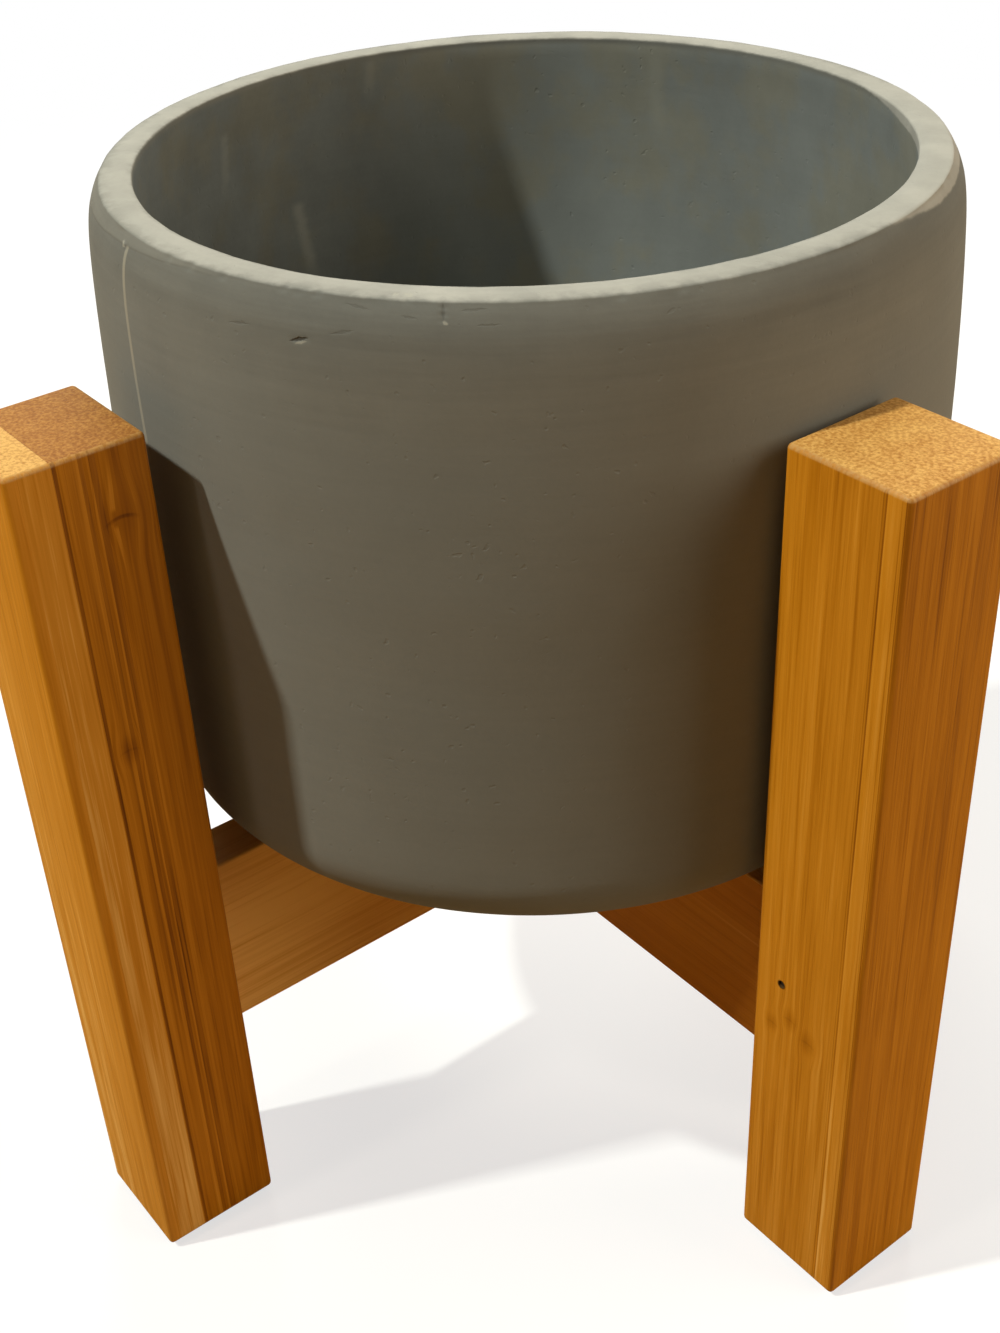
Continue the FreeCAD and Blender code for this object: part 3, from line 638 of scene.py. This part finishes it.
bpy.context.tool_settings.mesh_select_mode = [True, False, False]
DABS = [
    (-141.4, 0.0032, -0.0004, 0.0013), (-140.4, 0.0036, 0.0003, 0.0012),
    (-110.0, 0.0117, 0.0003, 0.0010), (-109.2, 0.0112, 0.0004, 0.0011), (-108.4, 0.0107, 0.0003, 0.0010),
    (-105.0, 0.0087, 0.0001, 0.0011), (-103.4, 0.0080, 0.0001, 0.0011),
    (-92.5, 0.0015, 0.0004, 0.0009), (-92.4, 0.0027, 0.0005, 0.0010), (-92.3, 0.0039, 0.0004, 0.0009),
    (-98.2, 0.0004, 0.0002, 0.0011), (-96.7, 0.0004, 0.0002, 0.0011),
    (-103.6, 0.0022, 0.0001, 0.0012), (-101.4, 0.0027, 0.0001, 0.0012), (-90.2, 0.0018, 0.0001, 0.0012),
    (-88.2, 0.0022, 0.0001, 0.0011), (-112.2, 0.0006, 0.0004, 0.0018), (-109.8, 0.0008, 0.0003, 0.0016),
    (-107.4, 0.0007, 0.0004, 0.0018), (-131.0, 0.0007, 0.0004, 0.0022), (-126.5, 0.0008, 0.0005, 0.0024),
    (-121.0, 0.0007, 0.0004, 0.0020), (-72.8, 0.0006, 0.0003, 0.0018), (-66.0, 0.0006, 0.0003, 0.0020),
]
for dab_place in DABS:
    dab(*dab_place)

# Hand rubbing: slow waves over the walls, and a finer unevenness along the rim's edges
walls = pot.vertex_groups.new(name="walls")
rim_edge = pot.vertex_groups.new(name="rim_edge")
for vertex in pot.data.vertices:
    angle, radius, depth = polar(vertex.co)
    under_rim = min(1, max(0, depth - 0.002) / 0.02)
    above_foot = min(1, max(0, POT_HEIGHT - depth - 0.002) / 0.02)
    walls.add([vertex.index], under_rim * above_foot, "REPLACE")
    if radius > INSIDE_RADIUS and depth < 0.008:
        outward = min(1, (radius - INSIDE_RADIUS) / 0.003)
        rim_edge.add([vertex.index], max(0, 1 - abs(depth - 0.001) / 0.007) * outward, "REPLACE")
    if radius < 0.1122 and depth < 0.003:
        rim_edge.add([vertex.index], 0.8, "REPLACE")
for name, group, size, strength, middle in (("rubbing", "walls", 0.055, 0.0006, 0.5),
                                            ("edge_wear", "rim_edge", 0.0055, 0.00022, 1),
                                            ("edge_sag", "rim_edge", 0.030, 0.0005, 1)):
    clouds = bpy.data.textures.new(name, "CLOUDS")
    clouds.noise_scale = size
    uneven = pot.modifiers.new(name, "DISPLACE")
    uneven.texture = clouds
    uneven.texture_coords = "LOCAL"
    uneven.vertex_group = group
    uneven.strength = strength
    uneven.mid_level = middle
    bpy.ops.object.modifier_apply(modifier=uneven.name)
pot.vertex_groups.clear()
bpy.ops.object.shade_smooth_by_angle(angle=math.radians(60))

finish, start = new_finish("rubbed_cement")
place = local_place(start, (POT_X, POT_Y, POT_FOOT), 0)
x, y, z = [place.node("SeparateXYZ", None, {0: place}, out=axis) for axis in "XYZ"]
radius = distance(x, y)
angle = y.math("ARCTAN2", x) * (180 / math.pi)
depth = POT_HEIGHT - z
inside = 1 - rise(radius, INSIDE_RADIUS, INSIDE_RADIUS + 0.003)
inside = inside * rise(z, FLOOR - 0.0015, FLOOR - 0.0005) * rise(depth, 0.0006, 0.003)
rubbed = noise(place, (170, 170, 170), 3, 0.6)
rim_end = (1 - rise(abs(angle + 4), 14, 34)) * 0.0030 + 0.0004 + (rubbed - 0.5) * 0.0012
rim_end = rim_end.math("MAXIMUM", 0.0003)
flat_rim = (1 - rise(depth - rim_end, -0.0004, 0.0005)) * rise(radius, 0.1085, 0.1108)

clouds = noise(place, (11, 11, 9), 3, 0.55)
mottle = noise(place, (55, 55, 40), 4, 0.6)
sand = noise(place, (700, 700, 700), 3, 0.6)
hue = noise(place, (16, 16, 22), 2)
brushed = start.node("CombineXYZ", None, {0: angle / 57.3 * 0.12, 1: radius, 2: z})
wiping = noise(brushed, (26, 60, 420), 3, 0.6)

# The rubbed rim is pale, and the inside stained in broad patches. The wall under the rim is painted a little
# darker, and the inside lighter at the back and darker at the left, as painted light and shade
colour = blend(hue, (0.204, 0.196, 0.164, 1), (0.188, 0.194, 0.176, 1))
stain = rise(noise(place, (34, 34, 26), 4, 0.62), 0.42, 0.60)
colour = blend(inside, colour, blend(stain, (0.196, 0.211, 0.201, 1), (0.213, 0.212, 0.176, 1)))
# Painted light and shade inside: a lighter band at the back, a little darker at 122 degrees, and darker at the
# left
inside_light_and_shade = band(angle, 92, 6, 30) * 0.40 - band(angle, 122, 3, 14) * 0.10 - (1 - rise(x, -0.104, -0.045)) * 0.34
# Painted shade: the outside wall just under the rim is painted darker
neck_shade = (1 - rise(depth, 0.002, 0.024)) * (1 - inside) * (1 - flat_rim) * 0.17
upper = (1 - rise(depth, 0.008, 0.050)) * (1 - inside) * (1 - flat_rim)
value = 0.90 + inside_light_and_shade * inside - neck_shade + clouds * 0.16 + (mottle - 0.5) * (0.12 + inside * 0.26 + upper * 0.14)
value = value + (sand - 0.5) * 0.07 + (wiping - 0.5) * (0.08 + upper * 0.16)

# Pale lime streaks run down the inside, from a crumb or from the rim
drips = 0
for streak_angle, lean, top, bottom, width, strength in (
        (139.6, -80, 0.044, 0.076, 0.85, 1), (123.7, 25, 0.001, 0.020, 0.7, 0.6),
        (73.0, -20, 0.004, 0.036, 0.95, 0.9), (104.0, 12, 0.003, 0.015, 0.5, 0.6),
        (155.0, 30, 0.012, 0.037, 0.7, 0.45)):
    middle = angle - streak_angle - (depth - top) * lean + (wiping - 0.5) * 1.2
    drip = band(middle, 0, width * 0.2, width * 2) * rise(depth, top, top + 0.003)
    drips = drips + drip * (1 - rise(depth, bottom - 0.012, bottom)) * strength
drips = drips * inside * rise(mottle, 0.15, 0.5)

# The seam runs down from a chip under the rim. A low ledge, left by the mould, meets it there
seam_line = angle + 140.3 - (depth - 0.005) * 34
seam = band(seam_line, 0, 0.20, 0.32) * rise(depth, 0.003, 0.004) * (1 - rise(depth, 0.050, 0.075))
seam = seam * (1 - inside) * rise(mottle, 0.25, 0.45)
ledge_line = depth - 0.0034 + (angle + 141) * 0.00011 + (mottle - 0.5) * 0.0012
ledge = (1 - rise(angle, -132, -114)) * rise(angle, -176, -168) * (1 - inside)
crumble = noise(place, (1100, 1100, 1100), 2)
RIM_DEGREE = 0.00213


def stroke(from_angle, from_depth, to_angle, to_depth, half):
    """A mark on the outside, pointed at both ends, that runs between two places near the rim."""
    wide = (to_angle - from_angle) * RIM_DEGREE
    high = to_depth - from_depth
    length = math.hypot(wide, high)
    beside = (angle - from_angle) * RIM_DEGREE
    below = depth - from_depth + (crumble - 0.5) * 0.0007
    along = (beside * wide + below * high) / (length * length / 2) - 1
    off = abs(beside * high - below * wide) / (length * half)
    return 1 - rise(off + along * along, 0.3, 1.1)


outside = 1 - inside
pale = stroke(-142.2, 0.0029, -140.8, 0.0039, 0.0009) + stroke(-92.6, 0.0045, -91.8, 0.0049, 0.0005)
pale = pale + stroke(-109.9, 0.0125, -108.1, 0.0114, 0.0005)
lip = band(radius, 0.1182, 0.0004, 0.0008) * (1 - rise(depth, 0.0004, 0.0008))
pale = pale + (band(angle, -98.3, 0.15, 0.3) + band(angle, -96.8, 0.3, 0.4)) * lip * rise(crumble, 0.35, 0.55)
# The dark and faint marks lie on the pushed-in dents and paint them darker: painted shade in the dents
dark = stroke(-110.5, 0.0120, -107.9, 0.0105, 0.0006) + stroke(-92.6, 0.0006, -92.4, 0.0046, 0.0006) * 0.35
faint_dent_shade = stroke(-105.5, 0.0089, -102.3, 0.0075, 0.0005) + stroke(-104.0, 0.0020, -100.7, 0.0029, 0.0004)
faint_dent_shade = faint_dent_shade + stroke(-97.3, 0.0036, -95.2, 0.0041, 0.0004) + stroke(-90.8, 0.0023, -87.4, 0.0017, 0.0004)
faint_dent_shade = faint_dent_shade + stroke(-89.0, 0.0052, -86.0, 0.0049, 0.0004) + stroke(-119.2, 0.0107, -115.8, 0.0099, 0.0005)
pale = (pale * outside).math("MINIMUM", 1)
dark = (dark * outside).math("MINIMUM", 1)
faint_dent_shade = (faint_dent_shade * outside).math("MINIMUM", 1)

colour = blend(ledge * (1 - rise(ledge_line, -0.0007, 0.0005)) * 0.42, colour, (0.300, 0.290, 0.245, 1))
colour = blend(flat_rim * (0.84 + (mottle - 0.5) * 0.9), colour, (0.405, 0.392, 0.345, 1))
colour = colour.node("Mix", {"data_type": "RGBA", "blend_type": "MULTIPLY"}, {
    "Factor": 1.0, "A": colour, "B": value.node("CombineColor", None, {0: value, 1: value, 2: value})})
colour = blend(drips * 0.34, colour, (0.34, 0.34, 0.29, 1))
colour = blend(seam * 0.6, colour, (0.40, 0.37, 0.29, 1))
colour = blend(pale * 0.55, colour, (0.42, 0.40, 0.33, 1))
# Painted shade in the dents
colour = blend(dark * 0.7 + faint_dent_shade * 0.16, colour, (0.040, 0.036, 0.030, 1))
pits = rise(noise(place, (420, 420, 420), 1), 0.70, 0.78)
raised = seam + ledge * (1 - rise(ledge_line, -0.0003, 0.0003))
relief = mottle * 0.6 + sand * 0.35 + wiping * 0.25 - pits * 0.6 + raised - dark * 2 - faint_dent_shade * 0.6
close_finish(start, relief, 0.00010, Base_Color=colour, Roughness=0.82 + (mottle - 0.5) * 0.12,
             Specular_IOR_Level=0.2)
pot.data.materials.append(finish)
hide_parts("pot")
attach(pot, "pot")


# Drain plug: a moulded black rubber bung, level with the floor inside, with a dimple to grip.
finish, start = new_finish("black_rubber")
place = local_place(start, (POT_X, POT_Y, POT_FOOT), 0)
bloom = noise(place, (240, 240, 240), 3)
grit = noise(place, (2400, 2400, 2400), 2)
close_finish(start, grit, 0.00006, Roughness=0.55 + bloom * 0.25, Base_Color=blend(
    bloom, (0.018, 0.018, 0.018, 1), (0.048, 0.047, 0.045, 1)))
dress("drain_plug", finish)


# Studio: a white floor that keeps the object's shadow and throws warm light back, as boards do.
# A small high lamp at the left throws the leg's shadow on the pot, and a second one beside it
# softens that. Two softboxes, at the right and behind, light the pot's other side and its inside.
# The camera was fitted to the photo: its place is in metres, its turns in degrees.
LOOKS_FROM = Vector((0.065431, -0.500022, 0.487744))
HEADING = 8.400
TILT = 56.162
ROLL = -2.786
FOCAL_LENGTH_MM = 47.243
SENSOR_MM = 36
scene = bpy.context.scene
scene.view_settings.view_transform = "Standard"

bpy.ops.object.select_all(action="DESELECT")
bpy.ops.mesh.primitive_circle_add(vertices=96, radius=9, fill_type="NGON", location=(0, 0, 0))
floor = bpy.context.object
floor.name = "studio_floor"
finish, start = new_finish("white_floor")
seen = start.node("LightPath", out="Is Camera Ray")
paper = start.node("BsdfDiffuse", None, {"Color": (0.36, 0.36, 0.36, 1)})
glow = start.node("Emission", None, {"Color": (1, 1, 1, 1), "Strength": 0.66})
shown = start.node("AddShader", None, {0: paper, 1: glow})
place = start.node("TexCoord", out="Object")
far_off = distance(*[place.node("SeparateXYZ", None, {0: place}, out=axis) for axis in "XY"])
plain = start.node("Emission", None, {"Color": (1, 1, 1, 1), "Strength": 1})
shown = start.node("MixShader", None, {0: rise(far_off, 0.5, 1.3), 1: shown, 2: plain})
boards = start.node("BsdfDiffuse", None, {"Color": (0.36, 0.22, 0.09, 1)})
start.node("OutputMaterial", None, {"Surface": start.node("MixShader", None, {0: seen, 1: boards, 2: shown})})
floor.data.materials.append(finish)


def new_lamp(name, azimuth, elevation, far, size, power, colour):
    """A square lamp that faces the pot from that direction."""
    azimuth, elevation = math.radians(azimuth), math.radians(elevation)
    outward = Vector((math.cos(elevation) * math.cos(azimuth), math.cos(elevation) * math.sin(azimuth),
                      math.sin(elevation)))
    lamp = bpy.data.lights.new(name, "AREA")
    lamp.size = size
    lamp.energy = power
    lamp.color = colour
    holder = bpy.data.objects.new(name, lamp)
    holder.location = Vector((0, 0, 0.2)) + outward * far
    holder.rotation_euler = outward.to_track_quat("Z", "Y").to_euler()
    scene.collection.objects.link(holder)


new_lamp("high_lamp", 202, 52, 6, 0.22, 312, (0.98, 1.0, 0.91))
new_lamp("side_lamp", 220, 53, 6, 0.40, 42, (1, 0.89, 0.77))
new_lamp("right_softbox", -6, 23, 3.5, 2.5, 84, (1, 0.88, 0.70))
new_lamp("back_softbox", 95, 40, 3.5, 2.2, 78, (1.0, 1.0, 0.91))

world = bpy.data.worlds.new("studio_air")
scene.world = world
world.use_nodes = True
world.node_tree.nodes.clear()
start = Wire(world.node_tree)
rays = [start.node("LightPath", out=kind) for kind in ("Is Camera Ray", "Is Glossy Ray", "Is Transmission Ray")]
seen = sum(rays).math("MINIMUM", 1)
air = start.node("Background", None, {"Color": (1.0, 0.97, 0.92, 1), "Strength": 0.01})
white = start.node("Background", None, {"Color": (1, 1, 1, 1), "Strength": 1})
start.node("OutputWorld", None, {"Surface": start.node("MixShader", None, {0: seen, 1: air, 2: white})})

lens = bpy.data.cameras.new("photo_camera")
lens.lens = FOCAL_LENGTH_MM
lens.sensor_fit = "VERTICAL"
lens.sensor_height = SENSOR_MM
camera = bpy.data.objects.new("photo_camera", lens)
camera.matrix_world = (Matrix.Translation(LOOKS_FROM) @ Matrix.Rotation(math.radians(HEADING), 4, "Z")
                       @ Matrix.Rotation(math.radians(TILT), 4, "X")
                       @ Matrix.Rotation(math.radians(ROLL), 4, "Z"))
scene.collection.objects.link(camera)
scene.camera = camera
